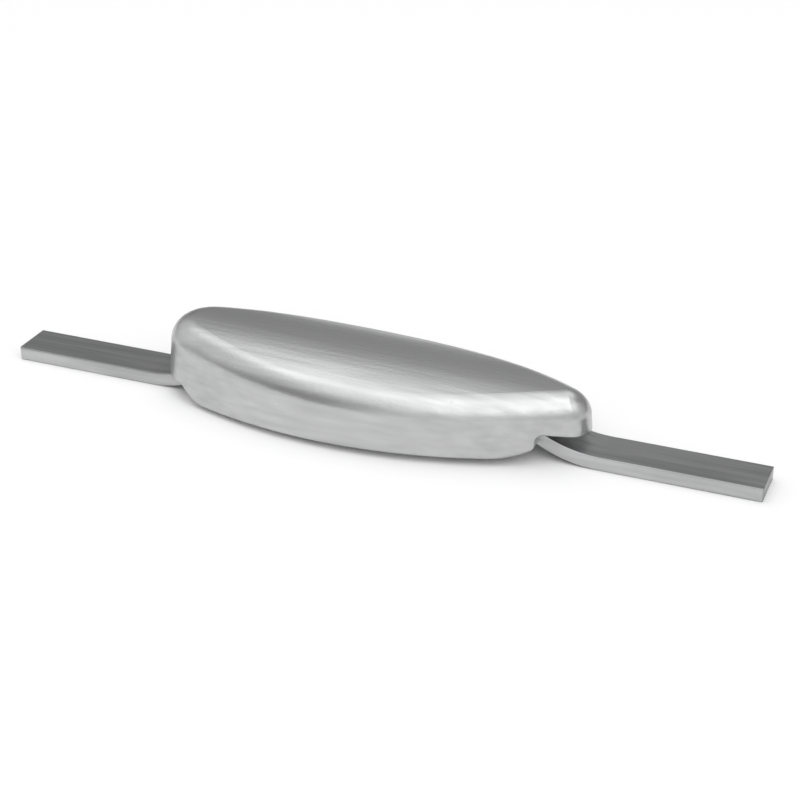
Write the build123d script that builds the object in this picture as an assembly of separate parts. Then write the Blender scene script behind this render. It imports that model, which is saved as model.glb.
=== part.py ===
from build123d import *
import os
from math import acos, cos, hypot, radians, sin, sqrt, tan

# Hull anode for welding on: a drop-shaped zinc casting on a flat steel strap that runs through it.
# X runs along the strap towards the casting's slim end, Y across it and Z away from the hull.
# The origin lies on the hull, midway between the strap's ends. Sizes are in millimetres.

# Strap, a flat bar
strap_length = 340
strap_width = 20
strap_thickness = 6
bar_edge_radius = 0.6
joggle_rise = 10  # how far the strap's middle stands above its two tabs
tab_bend_radius = 52  # centre line of the bend beside each tab
inner_bend_radius = 30  # centre line of the bend inside the casting
bend_lead = 6  # the bends beside the tabs start this much further out than half the casting's length

# Casting, seen from above, where its sides would meet the hull
casting_length = 193.6
casting_width = 70.5
casting_shift = 0.8  # from the strap's middle to the casting's, towards the slim end
blunt_end_radius = 21.5
slim_end_radius = 11.5
side_draft = 5  # degrees by which the sides lean in towards the top

# Casting, seen from the side
hull_gap = 1.8  # air between the hull and the casting's flat foot, at the blunt end
foot_rise = 1.4  # of the foot, from the blunt end to the slim end
ridge_height = 31.5  # from the hull to the ridge above the casting's middle
ridge_fall = 1.7  # degrees by which the ridge falls towards the slim end
crown_radius = 80  # of the top, across the casting
shoulder_radius = 10.5
lower_edge_radius = 1.2

# Blunt end, where the foot slopes up into a short nose that sits on the strap
blunt_nose_length = 13.4
blunt_nose_lap = 0.25  # how far the nose reaches down past the strap's top, at the tip
blunt_nose_rise = 1.9  # of the nose's underside, from the tip to its root
blunt_slope_run = 7.6  # of the foot's sloping end
blunt_foot_radius = 14
blunt_root_radius = 2

# Slim end, where the foot curves up to a wall below a longer nose
slim_nose_length = 20.2
slim_nose_gap = 4.6  # between strap and nose, at the tip
slim_nose_rise = 3
slim_slope_run = 10.5
slim_slope_rise = 4.2
slim_foot_radius = 40
slim_step_radius = 3  # between the slope and the wall
slim_root_radius = 2.5

blunt_tip = casting_shift - casting_length / 2
slim_tip = casting_shift + casting_length / 2
bend_start = casting_length / 2 + bend_lead
joggle_angle = acos(1 - joggle_rise / (tab_bend_radius + inner_bend_radius))
joggle_run = (tab_bend_radius + inner_bend_radius) * sin(joggle_angle)
touching = 0.001


def strap_top(x):
    """Height of the strap's upper face at x, on a tab or in the bend beside it."""
    radius = tab_bend_radius - strap_thickness / 2
    into_bend = max(0, bend_start - abs(x))
    return strap_thickness + radius - sqrt(radius**2 - into_bend**2)


def half_face(end, height):
    """One half of an upper or lower face of the strap, from its tab's end to the strap's middle."""
    radius = tab_bend_radius + strap_thickness / 2 - height
    inflection_x = bend_start - radius * sin(joggle_angle)
    inflection = (end * inflection_x, height + radius * (1 - cos(joggle_angle)))
    straight_end = (end * bend_start, height)
    bend_end = (end * (bend_start - joggle_run), height + joggle_rise)
    Line((end * strap_length / 2, height), straight_end)
    TangentArc(straight_end, inflection, tangent=(-end, 0))
    TangentArc(bend_end, inflection, tangent=(end, 0))
    return bend_end


def make_strap():
    """Flat bar that steps up at each end of the casting, its long edges slightly rounded."""
    with BuildPart() as strap:
        with BuildSketch(Plane.XZ):
            with BuildLine():
                for height in (0, strap_thickness):
                    Line(half_face(-1, height), half_face(1, height))
                for end in (-1, 1):
                    Line((end * strap_length / 2, 0), (end * strap_length / 2, strap_thickness))
            make_face()
        extrude(amount=strap_width / 2, both=True)
        fillet(strap.faces().filter_by(Axis.Y).edges(), bar_edge_radius)
    return strap.part


def side_arc():
    """Centre and radius of the arc that makes one side and runs into both round ends.

    The arc touches the casting's width and, from inside, both end circles. With the distance from the
    blunt end's centre to the widest place as the unknown, that gives one quadratic equation.
    """
    half_width = casting_width / 2
    blunt_spare = half_width - blunt_end_radius
    slim_spare = half_width - slim_end_radius
    apart = casting_length - blunt_end_radius - slim_end_radius
    square_term = 1 - slim_spare / blunt_spare
    constant = apart**2 - slim_spare * (blunt_end_radius - slim_end_radius)
    to_widest = constant / (apart + sqrt(apart**2 - square_term * constant))
    radius = (to_widest**2 / blunt_spare + blunt_end_radius + half_width) / 2
    return blunt_tip + blunt_end_radius + to_widest, half_width - radius, radius


def make_planform():
    """Drop-shaped outline: a blunt and a slim round end, joined by one arc on each side."""
    arc_x, arc_y, arc_radius = side_arc()

    def meeting(end_x):
        """Where the side arc runs into the round end that has its centre at end_x."""
        reach = arc_radius / hypot(end_x - arc_x, arc_y)
        return arc_x + reach * (end_x - arc_x), arc_y - reach * arc_y

    blunt_x, blunt_y = meeting(blunt_tip + blunt_end_radius)
    slim_x, slim_y = meeting(slim_tip - slim_end_radius)
    with BuildSketch() as planform:
        with BuildLine():
            ThreePointArc((blunt_x, blunt_y), (blunt_tip, 0), (blunt_x, -blunt_y))
            ThreePointArc((slim_x, slim_y), (slim_tip, 0), (slim_x, -slim_y))
            for side in (-1, 1):
                widest = (arc_x, side * casting_width / 2)
                ThreePointArc((blunt_x, side * blunt_y), widest, (slim_x, side * slim_y))
        make_face()
    return planform.sketch


def make_crown():
    """Long cylinder whose top line is the casting's ridge."""
    ridge_direction = (cos(radians(ridge_fall)), 0, -sin(radians(ridge_fall)))
    ridge = Plane(origin=(casting_shift, 0, ridge_height), x_dir=(0, 1, 0), z_dir=ridge_direction)
    return ridge * Pos(0, -crown_radius) * Cylinder(crown_radius, 2 * casting_length)


def make_underside():
    """Everything below the casting: under its flat foot, the foot's two ends and the two noses."""
    blunt_lip = (blunt_tip, strap_top(blunt_tip) - blunt_nose_lap)
    blunt_root = (blunt_tip + blunt_nose_length, blunt_lip[1] + blunt_nose_rise)
    slim_lip = (slim_tip, strap_top(slim_tip) + slim_nose_gap)
    slim_root = (slim_tip - slim_nose_length, slim_lip[1] + slim_nose_rise)
    slim_foot = hull_gap + foot_rise
    floor = -strap_thickness

    def beyond(root, lip):
        """A point past the nose's tip, on the line of its underside."""
        return 2 * lip[0] - root[0], 2 * lip[1] - root[1]

    blunt_outside = beyond(blunt_root, blunt_lip)
    slim_outside = beyond(slim_root, slim_lip)
    with BuildPart() as underside:
        with BuildSketch(Plane.XZ):
            with BuildLine():
                FilletPolyline(
                    blunt_outside,
                    blunt_root,
                    (blunt_root[0] + blunt_slope_run, hull_gap),
                    (slim_root[0] - slim_slope_run, slim_foot),
                    (slim_root[0], slim_foot + slim_slope_rise),
                    slim_root,
                    slim_outside,
                    radius=[
                        blunt_root_radius,
                        blunt_foot_radius,
                        slim_foot_radius,
                        slim_step_radius,
                        slim_root_radius,
                    ],
                )
                Polyline(
                    blunt_outside,
                    (blunt_outside[0], floor),
                    (slim_outside[0], floor),
                    slim_outside,
                )
            make_face()
        extrude(amount=casting_width, both=True)
    return underside.part


def make_casting(strap):
    """Zinc cast round the strap, with rounded shoulders and lower edges and a nose at each end."""
    planform = make_planform()
    crown = make_crown()
    underside = make_underside()

    def is_lower(edge):
        """True for an edge where the casting's sides meet its underside."""
        return underside.distance_to(edge @ 0.5) < touching

    with BuildPart() as casting:
        add(planform)
        extrude(amount=ridge_height + casting_length * tan(radians(ridge_fall)), taper=side_draft)
        add(crown, mode=Mode.INTERSECT)
        fillet(casting.faces().sort_by(Axis.Z)[-1].edges(), shoulder_radius)
        add(underside, mode=Mode.SUBTRACT)
        fillet(casting.edges().filter_by(Axis.Y, reverse=True).filter_by(is_lower), lower_edge_radius)
        add(strap, mode=Mode.SUBTRACT)
    return casting.part


steel_strap = make_strap()
zinc_casting = make_casting(steel_strap)

os.makedirs("parts", exist_ok=True)
export_step(steel_strap, "parts/steel_strap.step")
export_step(zinc_casting, "parts/zinc_casting.step")
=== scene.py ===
import math
from collections import namedtuple

import bpy
import numpy as np
from mathutils import Matrix, Vector


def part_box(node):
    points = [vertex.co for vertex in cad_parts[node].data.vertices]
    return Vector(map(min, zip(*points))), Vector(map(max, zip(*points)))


bl_info = {
    "name": "Hull anode",
    "version": (1, 0, 0),
    "blender": (4, 5, 0),
    "location": "View3D > Sidebar > Anode",
    "description": "Finishes a weld-on zinc hull anode on its steel strap and sets it on a pale floor",
    "category": "Object",
}

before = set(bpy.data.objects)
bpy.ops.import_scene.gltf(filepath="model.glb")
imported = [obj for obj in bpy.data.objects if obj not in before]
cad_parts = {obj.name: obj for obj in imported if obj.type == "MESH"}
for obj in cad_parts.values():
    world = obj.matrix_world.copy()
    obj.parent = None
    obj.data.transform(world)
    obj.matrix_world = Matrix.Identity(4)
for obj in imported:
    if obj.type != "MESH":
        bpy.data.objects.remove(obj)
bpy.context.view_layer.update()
CASTING = "zinc_casting"
STRAP = "steel_strap"

# The strap lies centred along X and across Y, so a corner of its box gives half its length and width
STRAP_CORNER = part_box(STRAP)[1]

# How far in from the strap's faces, in metres, their own finish starts and is full: the lighter colour
# of the narrow sides, which is a painted sheen for the light they catch, and the saw marks of the ends
SIDE_SHEEN_START = 0.0002
SIDE_SHEEN_FULL = 0.00001
SAWN_START = 0.0006
SAWN_FULL = 0.0001

# A noise pattern: the size of its largest features in metres, how many finer layers it has, how strong each
# of them is, how many times longer the pattern is along X, Y and Z, and how far it is warped
EVEN = (1.0, 1.0, 1.0)
Pattern = namedtuple("Pattern", "size detail roughness stretch distortion", defaults=(0.5, EVEN, 0.0))

# Patterns on the casting: the dull film, the broad and fine streaks along it, the mould's grain, the slow
# ripples and the places that have pits
OXIDE_FILM = Pattern(0.035, 4.0, distortion=0.6)
BROAD_STREAKS = Pattern(0.006, 2.0, stretch=(14.0, 1.0, 1.6))
FINE_STREAKS = Pattern(0.0024, 1.0, 0.4, (14.0, 1.0, 1.0))
MOULD_GRAIN = Pattern(0.0014, 3.0, 0.55)
RIPPLES = Pattern(0.022, 1.0, stretch=(2.2, 1.0, 1.0))
PIT_PATCHES = Pattern(0.012, 0.0)

# How much the streaks and the film dull the zinc, from 0, clean, to 1, the oxide's full colour
DULL_MIDDLE = 0.42
BROAD_STREAKS_DULL = 0.6
FINE_STREAKS_DULL = 0.85
FILM_DULLS = 0.16

# The part of the film's noise that shows as film, the part of the dulling that changes the roughness, by
# how much it does, and the fine streaks' height against the skin's depth
FILM_SPAN = (0.35, 0.72)
DULL_SPAN = (0.1, 0.9)
DULL_ROUGHNESS = 0.1
FINE_STREAKS_HEIGHT = 0.8

# Pits: metres between them, a pit's floor and rim as shares of that, the part of the noise that has them,
# their depth in metres, and the grey of the shade painted into them with how strongly it shows
PIT_SPACING = 0.006
PIT_SPAN = (0.03, 0.09)
PIT_PATCH_SPAN = (0.56, 0.64)
PIT_DEPTH = 0.00008
PIT_SHADE_GREY = 0.32
PIT_SHADE = 0.5

# Patterns on the strap: drawing lines and the broader bands that they lie in, the mill film, the steel's
# own grain and the upright marks of the saw
DRAWN_LINES = Pattern(0.0012, 3.0, 0.6, (60.0, 1.0, 1.0))
DRAWN_BANDS = Pattern(0.005, 2.0, stretch=(16.0, 1.0, 1.0))
MILL_FILM = Pattern(0.02, 4.0, stretch=(2.5, 1.0, 1.0))
STEEL_GRAIN = Pattern(0.0006, 2.0)
SAW_MARKS = Pattern(0.0007, 2.0, stretch=(1.0, 1.0, 30.0))

# The part of each pattern's noise that shows, on the flats and, for the bands, on the narrow sides
LINE_SPAN = (0.3, 0.7)
BAND_SPAN = (0.34, 0.66)
SIDE_BAND_SPAN = (0.36, 0.64)
MILL_FILM_SPAN = (0.38, 0.7)

# How much bands, lines and film darken the flats, streak the sides' painted sheen and change the roughness
Weights = namedtuple("Weights", "bands lines film")
FLAT_DARKENING = Weights(0.5, 0.35, 0.25)
SIDE_SHEEN_STREAKS = Weights(0.45, 0.3, 0.4)
STEEL_ROUGHNESS = Weights(0.14, 0.12, 0.06)

# How strongly the narrow sides' painted sheen shows, and the grain's height against the drawing lines'
# depth
SIDE_SHEEN_SHARE = 0.95
STEEL_GRAIN_HEIGHT = 0.25

# Floor: its rings and spokes, and its faint clouds with their grey and how strongly it shows
FLOOR_RINGS = 48
FLOOR_SPOKES = 96
FLOOR_CLOUDS = Pattern(0.4, 3.0)
CLOUD_GREY = 0.86
CLOUD_SHARE = 0.1

# The lamp's place, seen from the object: degrees from the front towards the slim end, degrees up, metres
SOFTBOX_AZIMUTH = 25.0
SOFTBOX_ELEVATION = 58.0
SOFTBOX_DISTANCE = 2.2

# Soft glows of the studio: degrees from the front towards the slim end, degrees up, the angles from its
# middle at which a glow is full and gone, and its strength
Glow = namedtuple("Glow", "azimuth elevation inner outer strength")
GLOWS = (
    Glow(33.0, 56.0, 12.0, 47.0, 1.30),
    Glow(-162.0, 73.0, 11.0, 37.0, 1.12),
    Glow(-85.0, 38.0, 14.0, 55.0, 0.72),
    Glow(12.0, 10.0, 12.0, 37.0, 0.70),
    Glow(82.0, 20.0, 12.0, 45.0, 0.50),
    Glow(165.0, 20.0, 12.0, 55.0, 0.20),
)

# The photograph's side in pixels, the width of the camera's sensor in millimetres, and the nearest and
# farthest places that the camera sees, in metres
PHOTO_PIXELS = 800
SENSOR_WIDTH = 36.0
NEAREST_SEEN = 0.01
FARTHEST_SEEN = 50.0

# Where the Mix node has its two colours and its result, whose names other sockets share
MIX_FIRST = 6
MIX_SECOND = 7
MIX_RESULT = 2


class Value:
    """A socket in a node tree. The usual operators on it add Math nodes."""

    def __init__(self, nodes, socket):
        self.nodes = nodes
        self.socket = socket

    def __add__(self, other):
        return self.nodes.maths("ADD", self, other)

    def __radd__(self, other):
        return self.nodes.maths("ADD", other, self)

    def __sub__(self, other):
        return self.nodes.maths("SUBTRACT", self, other)

    def __rsub__(self, other):
        return self.nodes.maths("SUBTRACT", other, self)

    def __mul__(self, other):
        return self.nodes.maths("MULTIPLY", self, other)

    def __rmul__(self, other):
        return self.nodes.maths("MULTIPLY", other, self)

    def swing(self, amount):
        """Goes from -amount / 2 to amount / 2 as this value goes from 0 to 1."""
        return (self - 0.5) * amount


class Nodes:
    """The node tree of one material or world, with the patterns that this object's finishes share."""

    def __init__(self, owner):
        owner.use_nodes = True
        self.tree = owner.node_tree
        self.tree.nodes.clear()

    def add(self, kind, settings=None, inputs=None, output=0):
        """Adds a node, makes its settings and then fills its inputs with numbers, colours or links."""
        node = self.tree.nodes.new(kind)
        for name, setting in (settings or {}).items():
            setattr(node, name, setting)
        for name, given in (inputs or {}).items():
            if isinstance(given, Value):
                self.tree.links.new(given.socket, node.inputs[name])
            else:
                node.inputs[name].default_value = given
        return Value(self, node.outputs[output]) if node.outputs else None

    def maths(self, operation, first, second=0.0):
        """One Math node on two values."""
        return self.add("ShaderNodeMath", {"operation": operation}, {0: first, 1: second})

    def place(self, stretch=EVEN):
        """Object coordinates in metres, each divided by its stretch, so that a pattern grows that way."""
        point = self.add("ShaderNodeTexCoord", output="Object")
        scale = [1.0 / amount for amount in stretch]
        return self.add("ShaderNodeMapping", None, {"Vector": point, "Scale": scale})

    def noise(self, pattern):
        """Soft noise from 0 to 1."""
        return self.add(
            "ShaderNodeTexNoise",
            None,
            {
                "Vector": self.place(pattern.stretch),
                "Scale": 1.0 / pattern.size,
                "Detail": pattern.detail,
                "Roughness": pattern.roughness,
                "Distortion": pattern.distortion,
            },
        )

    def ramp(self, value, low, high, start=0.0, end=1.0):
        """Smooth step of value between low and high, from start to end."""
        return self.add(
            "ShaderNodeMapRange",
            {"interpolation_type": "SMOOTHSTEP"},
            {"Value": value, "From Min": low, "From Max": high, "To Min": start, "To Max": end},
        )

    def near_faces(self, axis, reach, start, full):
        """Goes from 0 to 1 between start and full metres short of the two faces that lie at reach metres
        to both sides of the middle, on one axis."""
        place = self.add("ShaderNodeSeparateXYZ", None, {0: self.place()}, axis)
        return self.ramp(self.maths("ABSOLUTE", place), reach - start, reach - full)

    def blend(self, share, first, second):
        """Colour that goes from first to second as share goes from 0 to 1."""
        return self.add(
            "ShaderNodeMix",
            {"data_type": "RGBA"},
            {"Factor": share, MIX_FIRST: first, MIX_SECOND: second},
            MIX_RESULT,
        )

    def relief(self, *layers):
        """Normal of bumps laid over one another. A layer is a height from 0 to 1 and the metres that 1
        stands for."""
        normal = None
        for height, depth in layers:
            inputs = {"Height": height, "Distance": depth, "Strength": 1.0}
            if normal is not None:
                inputs["Normal"] = normal
            normal = self.add("ShaderNodeBump", None, inputs)
        return normal

    def metal(self, colour, roughness, normal):
        """Joins a bare metal surface to the material's output."""
        inputs = {"Base Color": colour, "Metallic": 1.0, "Roughness": roughness, "Normal": normal}
        surface = self.add("ShaderNodeBsdfPrincipled", None, inputs)
        self.add("ShaderNodeOutputMaterial", None, {"Surface": surface})


def grey(level):
    """Opaque neutral grey."""
    return (level, level, level, 1.0)


def direction(azimuth, elevation):
    """Unit vector at (a, e), in radians: (sin a cos e, -cos a cos e, sin e)."""
    level = math.cos(elevation)
    return Vector((math.sin(azimuth) * level, -math.cos(azimuth) * level, math.sin(elevation)))


def dress(name, material):
    """Gives one CAD node its material."""
    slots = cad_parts[name].data.materials
    slots.clear()
    slots.append(material)


def disc(radius, rings, spokes):
    """Flat round floor. At (u, v), u from 0 to 1 and v round the circle, the point is
    (radius u² cos v, radius u² sin v, 0), so the rings lie closer together near the middle."""
    reach = radius * (np.arange(1, rings + 1)[:, None] / rings) ** 2
    turn = 2.0 * np.pi * np.arange(spokes) / spokes
    grid = np.stack([reach * np.cos(turn), reach * np.sin(turn), np.zeros((rings, spokes))], axis=2)
    points = np.concatenate([grid.reshape(-1, 3), np.zeros((1, 3))])
    here = np.arange(spokes)
    after = (here + 1) % spokes
    inner = (np.arange(rings - 1) * spokes)[:, None]
    quads = np.stack([inner + here, inner + spokes + here, inner + spokes + after, inner + after], axis=2)
    fan = np.stack([np.full(spokes, rings * spokes), here, after], axis=1)
    return points.tolist(), quads.reshape(-1, 4).tolist() + fan.tolist()


class AnodeFinishes(bpy.types.PropertyGroup):
    """Colours and textures of the casting and the strap."""

    zinc_colour: bpy.props.FloatVectorProperty(
        name="Zinc",
        description="Colour of the clean cast zinc",
        subtype="COLOR",
        size=4,
        min=0.0,
        max=1.0,
        default=(0.59, 0.592, 0.595, 1.0),
    )
    oxide_colour: bpy.props.FloatVectorProperty(
        name="Oxide",
        description="Colour of the thin dull film on the casting",
        subtype="COLOR",
        size=4,
        min=0.0,
        max=1.0,
        default=(0.43, 0.432, 0.435, 1.0),
    )
    zinc_roughness: bpy.props.FloatProperty(
        name="Zinc roughness",
        description="Roughness of the satin casting",
        subtype="FACTOR",
        min=0.0,
        max=1.0,
        default=0.32,
    )
    skin_depth: bpy.props.FloatProperty(
        name="Skin depth",
        description="Height of the streaks and the fine grain that the mould leaves on the zinc",
        subtype="DISTANCE",
        unit="LENGTH",
        min=0.0,
        default=0.00006,
    )
    ripple_depth: bpy.props.FloatProperty(
        name="Ripple depth",
        description="Height of the slow waves in the casting's skin",
        subtype="DISTANCE",
        unit="LENGTH",
        min=0.0,
        default=0.00012,
    )
    steel_colour: bpy.props.FloatVectorProperty(
        name="Steel",
        description="Colour of the drawn steel bar",
        subtype="COLOR",
        size=4,
        min=0.0,
        max=1.0,
        default=(0.43, 0.432, 0.435, 1.0),
    )
    mill_colour: bpy.props.FloatVectorProperty(
        name="Mill film",
        description="Colour of the darker film in the bar's drawing lines",
        subtype="COLOR",
        size=4,
        min=0.0,
        max=1.0,
        default=(0.25, 0.252, 0.255, 1.0),
    )
    # Painted sheen: the narrow sides get this lighter colour in place of the light that they catch
    side_sheen_colour: bpy.props.FloatVectorProperty(
        name="Bar edge",
        description="Colour of the bar's brighter narrow sides",
        subtype="COLOR",
        size=4,
        min=0.0,
        max=1.0,
        default=(0.60, 0.602, 0.605, 1.0),
    )
    steel_roughness: bpy.props.FloatProperty(
        name="Steel roughness",
        description="Roughness of the drawn bar",
        subtype="FACTOR",
        min=0.0,
        max=1.0,
        default=0.34,
    )
    drawing_depth: bpy.props.FloatProperty(
        name="Drawing line depth",
        description="Depth of the lines that drawing leaves along the bar",
        subtype="DISTANCE",
        unit="LENGTH",
        min=0.0,
        default=0.00002,
    )
    saw_depth: bpy.props.FloatProperty(
        name="Saw mark depth",
        description="Depth of the saw marks on the bar's two ends",
        subtype="DISTANCE",
        unit="LENGTH",
        min=0.0,
        default=0.00004,
    )


class AnodeStage(bpy.types.PropertyGroup):
    """Floor, light and camera."""

    floor_radius: bpy.props.FloatProperty(
        name="Floor radius",
        description="Radius of the round floor",
        subtype="DISTANCE",
        unit="LENGTH",
        min=1.0,
        default=9.0,
    )
    floor_colour: bpy.props.FloatVectorProperty(
        name="Floor",
        description="Colour of the floor",
        subtype="COLOR",
        size=4,
        min=0.0,
        max=1.0,
        default=(0.92, 0.92, 0.92, 1.0),
    )
    dim_level: bpy.props.FloatProperty(
        name="Dim level",
        description="Strength of the studio's light away from its glows",
        min=0.0,
        default=0.21,
    )
    softbox_size: bpy.props.FloatProperty(
        name="Softbox size",
        description="Side of the square lamp",
        subtype="DISTANCE",
        unit="LENGTH",
        min=0.1,
        default=1.8,
    )
    softbox_power: bpy.props.FloatProperty(
        name="Softbox power",
        description="Power of the square lamp",
        unit="POWER",
        min=0.0,
        default=4.0,
    )
    camera_azimuth: bpy.props.FloatProperty(
        name="Camera azimuth",
        description="Turn of the camera about the object, from square in front towards the slim end",
        subtype="ANGLE",
        unit="ROTATION",
        default=math.radians(21.956),
    )
    camera_elevation: bpy.props.FloatProperty(
        name="Camera elevation",
        description="Angle by which the camera looks down",
        subtype="ANGLE",
        unit="ROTATION",
        default=math.radians(27.705),
    )
    camera_distance: bpy.props.FloatProperty(
        name="Camera distance",
        description="From the floor below the strap's middle to the camera, before its two moves",
        subtype="DISTANCE",
        unit="LENGTH",
        min=0.1,
        default=0.772797,
    )
    camera_right: bpy.props.FloatProperty(
        name="Camera moved right",
        description="Move of the camera to its own right",
        subtype="DISTANCE",
        unit="LENGTH",
        default=0.011324,
    )
    camera_up: bpy.props.FloatProperty(
        name="Camera moved up",
        description="Move of the camera along its own upright",
        subtype="DISTANCE",
        unit="LENGTH",
        default=0.006585,
    )
    focal_pixels: bpy.props.FloatProperty(
        name="Focal length",
        description="Focal length, counted in pixels of the square photograph",
        min=1.0,
        default=1800.0,
    )


class ANODE_OT_cast_zinc(bpy.types.Operator):
    """Give the casting its satin zinc skin"""

    bl_idname = "anode.cast_zinc"
    bl_label = "Cast zinc"

    def execute(self, context):
        looks = context.scene.anode_finishes
        material = bpy.data.materials.new("cast_zinc")
        nodes = Nodes(material)
        film = nodes.ramp(nodes.noise(OXIDE_FILM), *FILM_SPAN)
        broad = nodes.noise(BROAD_STREAKS)
        fine = nodes.noise(FINE_STREAKS)
        pit = self.pits(nodes)
        streaks = broad.swing(BROAD_STREAKS_DULL) + fine.swing(FINE_STREAKS_DULL)
        dull = film * FILM_DULLS + streaks + DULL_MIDDLE
        colour = nodes.blend(dull, looks.zinc_colour, looks.oxide_colour)
        # Painted shade: each pit is darkened towards a grey, as its hollow would be shaded
        colour = nodes.blend(pit * PIT_SHADE, colour, grey(PIT_SHADE_GREY))
        roughness = looks.zinc_roughness + nodes.ramp(dull, *DULL_SPAN).swing(DULL_ROUGHNESS)
        normal = nodes.relief(
            (nodes.noise(RIPPLES), looks.ripple_depth),
            (broad, looks.skin_depth),
            (fine, looks.skin_depth * FINE_STREAKS_HEIGHT),
            (nodes.noise(MOULD_GRAIN), looks.skin_depth),
            (1.0 - pit, PIT_DEPTH),
        )
        nodes.metal(colour, roughness, normal)
        dress(CASTING, material)
        return {"FINISHED"}

    def pits(self, nodes):
        """Goes from 0 to 1 at each of a few small round pits."""
        cells = {"Vector": nodes.place(), "Scale": 1.0 / PIT_SPACING, "Randomness": 1.0}
        distance = nodes.add("ShaderNodeTexVoronoi", {"feature": "F1"}, cells, "Distance")
        patches = nodes.ramp(nodes.noise(PIT_PATCHES), *PIT_PATCH_SPAN)
        return nodes.ramp(distance, *PIT_SPAN, 1.0, 0.0) * patches


class ANODE_OT_drawn_steel(bpy.types.Operator):
    """Give the strap its drawn steel surface"""

    bl_idname = "anode.drawn_steel"
    bl_label = "Drawn steel"

    def execute(self, context):
        looks = context.scene.anode_finishes
        material = bpy.data.materials.new("drawn_steel")
        nodes = Nodes(material)
        lines = nodes.noise(DRAWN_LINES)
        bands = nodes.noise(DRAWN_BANDS)
        film = nodes.ramp(nodes.noise(MILL_FILM), *MILL_FILM_SPAN)
        side = nodes.near_faces("Y", STRAP_CORNER.y, SIDE_SHEEN_START, SIDE_SHEEN_FULL)
        sawn = nodes.near_faces("X", STRAP_CORNER.x, SAWN_START, SAWN_FULL)
        dark_bands = nodes.ramp(bands, *BAND_SPAN) * FLAT_DARKENING.bands
        dark_lines = nodes.ramp(lines, *LINE_SPAN) * FLAT_DARKENING.lines
        dark = dark_bands + dark_lines + film * FLAT_DARKENING.film
        flat = nodes.blend(dark, looks.steel_colour, looks.mill_colour)
        # The narrow sides are painted a lighter colour than the flats, as sheen for the light they catch,
        # in streaks
        sheen_streak_bands = nodes.ramp(bands, *SIDE_BAND_SPAN) * SIDE_SHEEN_STREAKS.bands
        sheen_streaks = sheen_streak_bands + film * SIDE_SHEEN_STREAKS.film + lines * SIDE_SHEEN_STREAKS.lines
        narrow = nodes.blend(sheen_streaks, looks.side_sheen_colour, looks.steel_colour)
        colour = nodes.blend(side * SIDE_SHEEN_SHARE, flat, narrow)
        drawn = bands.swing(STEEL_ROUGHNESS.bands) + lines.swing(STEEL_ROUGHNESS.lines)
        roughness = looks.steel_roughness + drawn + film * STEEL_ROUGHNESS.film
        normal = nodes.relief(
            (lines, looks.drawing_depth),
            (nodes.noise(STEEL_GRAIN), looks.drawing_depth * STEEL_GRAIN_HEIGHT),
            (nodes.noise(SAW_MARKS) * sawn, looks.saw_depth),
        )
        nodes.metal(colour, roughness, normal)
        dress(STRAP, material)
        return {"FINISHED"}


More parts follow.
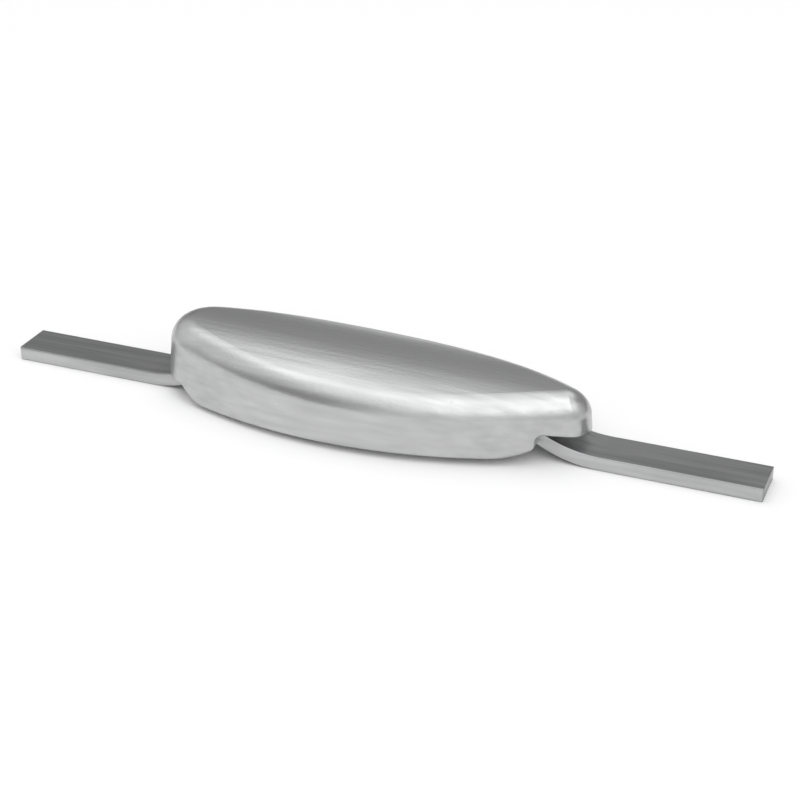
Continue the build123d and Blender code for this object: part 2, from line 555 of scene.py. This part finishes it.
class ANODE_OT_stage(bpy.types.Operator):
    """Set up the floor, the lamp, the world and the camera"""

    bl_idname = "anode.stage"
    bl_label = "Stage"

    def execute(self, context):
        stage = context.scene.anode_stage
        self.make_floor(context, stage)
        self.make_world(context, stage)
        self.make_lamp(context, stage)
        self.make_camera(context, stage)
        context.scene.view_settings.view_transform = "Standard"
        return {"FINISHED"}

    def make_floor(self, context, stage):
        """Plain pale floor, which keeps the object's shadow."""
        points, faces = disc(stage.floor_radius, FLOOR_RINGS, FLOOR_SPOKES)
        mesh = bpy.data.meshes.new("floor")
        mesh.from_pydata(points, [], faces)
        floor = bpy.data.objects.new("floor", mesh)
        context.collection.objects.link(floor)
        material = bpy.data.materials.new("pale_floor")
        nodes = Nodes(material)
        clouds = nodes.noise(FLOOR_CLOUDS) * CLOUD_SHARE
        colour = nodes.blend(clouds, stage.floor_colour, grey(CLOUD_GREY))
        surface = nodes.add("ShaderNodeBsdfDiffuse", None, {"Color": colour})
        nodes.add("ShaderNodeOutputMaterial", None, {"Surface": surface})
        mesh.materials.append(material)

    def make_world(self, context, stage):
        """Soft studio: dim all round and brighter towards each of its glows."""
        world = bpy.data.worlds.new("studio")
        context.scene.world = world
        nodes = Nodes(world)
        toward = nodes.add("ShaderNodeTexCoord", output="Generated")
        light = stage.dim_level
        for glow in GLOWS:
            middle = direction(math.radians(glow.azimuth), math.radians(glow.elevation))
            inputs = {0: toward, 1: middle}
            nearness = nodes.add("ShaderNodeVectorMath", {"operation": "DOT_PRODUCT"}, inputs, "Value")
            edge = math.cos(math.radians(glow.outer))
            core = math.cos(math.radians(glow.inner))
            light = nodes.ramp(nearness, edge, core, 0.0, glow.strength) + light
        studio = nodes.add("ShaderNodeBackground", None, {"Color": grey(1.0), "Strength": light})
        nodes.add("ShaderNodeOutputWorld", None, {"Surface": studio})

    def make_lamp(self, context, stage):
        """One large softbox, high in front of the object towards its slim end."""
        lamp = bpy.data.lights.new("softbox", "AREA")
        lamp.shape = "SQUARE"
        lamp.size = stage.softbox_size
        lamp.energy = stage.softbox_power
        softbox = bpy.data.objects.new("softbox", lamp)
        context.collection.objects.link(softbox)
        toward = direction(math.radians(SOFTBOX_AZIMUTH), math.radians(SOFTBOX_ELEVATION))
        place = toward * SOFTBOX_DISTANCE
        aim = (-place).to_track_quat("-Z", "Y")
        softbox.matrix_world = Matrix.Translation(place) @ aim.to_matrix().to_4x4()

    def make_camera(self, context, stage):
        """Camera at the photograph's viewing angle. Its own axes are right, up and back."""
        turn = stage.camera_azimuth
        back = direction(turn, stage.camera_elevation)
        right = Vector((math.cos(turn), math.sin(turn), 0.0))
        up = back.cross(right)
        place = back * stage.camera_distance + right * stage.camera_right + up * stage.camera_up
        data = bpy.data.cameras.new("camera")
        data.sensor_width = SENSOR_WIDTH
        data.lens = SENSOR_WIDTH * stage.focal_pixels / PHOTO_PIXELS
        data.clip_start = NEAREST_SEEN
        data.clip_end = FARTHEST_SEEN
        camera = bpy.data.objects.new("camera", data)
        context.collection.objects.link(camera)
        camera.matrix_world = Matrix.Translation(place) @ Matrix((right, up, back)).transposed().to_4x4()
        context.scene.camera = camera


class ANODE_PT_panel(bpy.types.Panel):
    """Lists the anode's values and its steps"""

    bl_idname = "ANODE_PT_panel"
    bl_label = "Hull anode"
    bl_space_type = "VIEW_3D"
    bl_region_type = "UI"
    bl_category = "Anode"

    def draw(self, context):
        for group in (context.scene.anode_finishes, context.scene.anode_stage):
            box = self.layout.box()
            for name in group.__annotations__:
                box.prop(group, name)
        for step in STEPS:
            self.layout.operator(step.bl_idname)


STEPS = (ANODE_OT_cast_zinc, ANODE_OT_drawn_steel, ANODE_OT_stage)
CLASSES = (AnodeFinishes, AnodeStage) + STEPS + (ANODE_PT_panel,)


def register():
    for kind in CLASSES:
        bpy.utils.register_class(kind)
    bpy.types.Scene.anode_finishes = bpy.props.PointerProperty(type=AnodeFinishes)
    bpy.types.Scene.anode_stage = bpy.props.PointerProperty(type=AnodeStage)


def unregister():
    del bpy.types.Scene.anode_stage
    del bpy.types.Scene.anode_finishes
    for kind in reversed(CLASSES):
        bpy.utils.unregister_class(kind)


def main():
    register()
    bpy.ops.anode.cast_zinc()
    bpy.ops.anode.drawn_steel()
    bpy.ops.anode.stage()


if __name__ == "__main__":
    main()
